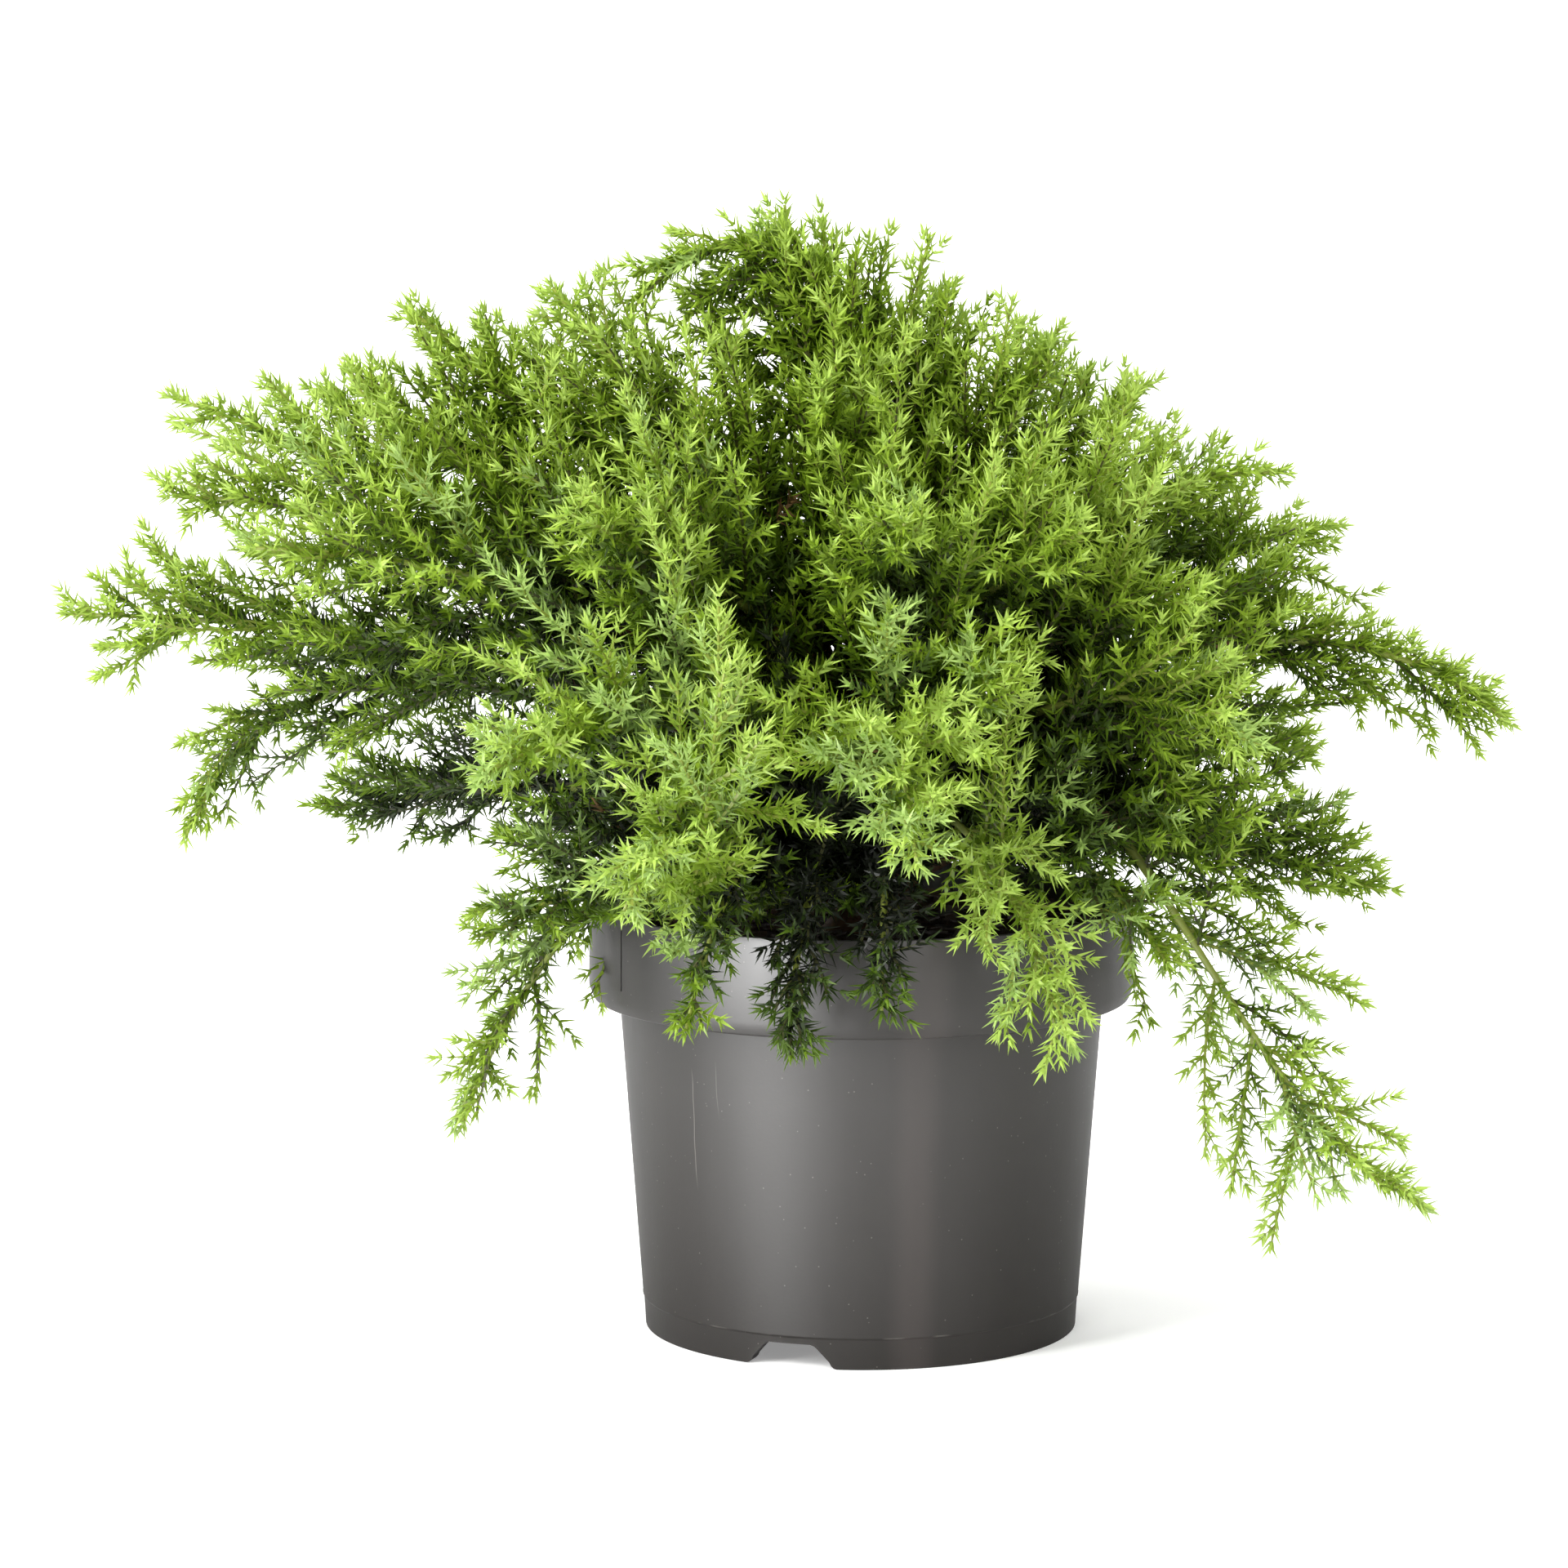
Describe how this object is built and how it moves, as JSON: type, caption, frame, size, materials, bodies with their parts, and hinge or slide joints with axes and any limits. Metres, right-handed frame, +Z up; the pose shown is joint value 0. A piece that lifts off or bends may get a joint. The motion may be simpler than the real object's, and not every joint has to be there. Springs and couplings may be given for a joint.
{
  "type": "potted pfitzeriana compacta juniper",
  "caption": "Spreading juniper shrub in a round nursery pot: a short hidden trunk, tapering boughs all round and loose masses of needle sprays that arch out and hang over the rim.",
  "frame": {"origin": "centre of the pot's flat underside", "axes": "+Z up, -Y toward the viewer of the picture, +X to the viewer's right"},
  "size_m": [0.5029, 0.4114, 0.3927],
  "materials": {
    "pot": "satin dark grey moulded plastic with faint scuffs",
    "soil": "moist dark potting mix",
    "bark": "thin red-brown bark that turns yellow-green on young wood",
    "foliage": "fresh green awl needles in whorls, brighter at the shoot tips"
  },
  "bodies": {
    "root": {"bough_front_left": "bark", "bough_left_droop": "bark", "bough_left_high": "bark", "bough_left_reach": "bark", "bough_right_arch": "bark", "bough_right_hang": "bark", "bough_right_mid": "bark", "bough_right_reach": "bark", "foliage_back_high": "foliage", "foliage_back_left": "foliage", "foliage_back_low": "foliage", "foliage_back_low_left": "foliage", "foliage_back_low_right": "foliage", "foliage_back_right": "foliage", "foliage_front_centre": "foliage", "foliage_front_inner": "foliage", "foliage_front_left": "foliage", "foliage_front_left_up": "foliage", "foliage_front_mid": "foliage", "foliage_front_right_hang": "foliage", "foliage_front_right_low": "foliage", "foliage_front_right_up": "foliage", "foliage_front_up": "foliage", "foliage_front_up_right": "foliage", "foliage_front_upright": "foliage", "foliage_left_back_low": "foliage", "foliage_left_droop": "foliage", "foliage_left_hang": "foliage", "foliage_left_high": "foliage", "foliage_left_inner": "foliage", "foliage_left_mid": "foliage", "foliage_left_reach": "foliage", "foliage_left_skirt": "foliage", "foliage_left_top": "foliage", "foliage_low_front": "foliage", "foliage_low_front_left": "foliage", "foliage_low_front_right": "foliage", "foliage_low_right": "foliage", "foliage_right_arch": "foliage", "foliage_right_back_low": "foliage", "foliage_right_hang": "foliage", "foliage_right_high": "foliage", "foliage_right_low": "foliage", "foliage_right_mid": "foliage", "foliage_right_reach": "foliage", "foliage_right_upper": "foliage", "foliage_rim_hang": "foliage", "foliage_rim_hang_left": "foliage", "foliage_rim_hang_right": "foliage", "foliage_top_arch": "foliage", "foliage_top_back": "foliage", "foliage_top_front": "foliage", "foliage_top_left": "foliage", "foliage_top_left_inner": "foliage", "foliage_top_peak": "foliage", "foliage_top_right": "foliage", "foliage_top_right_inner": "foliage", "pot": "pot", "soil": "soil", "trunk": "bark"}
  },
  "joints": []
}
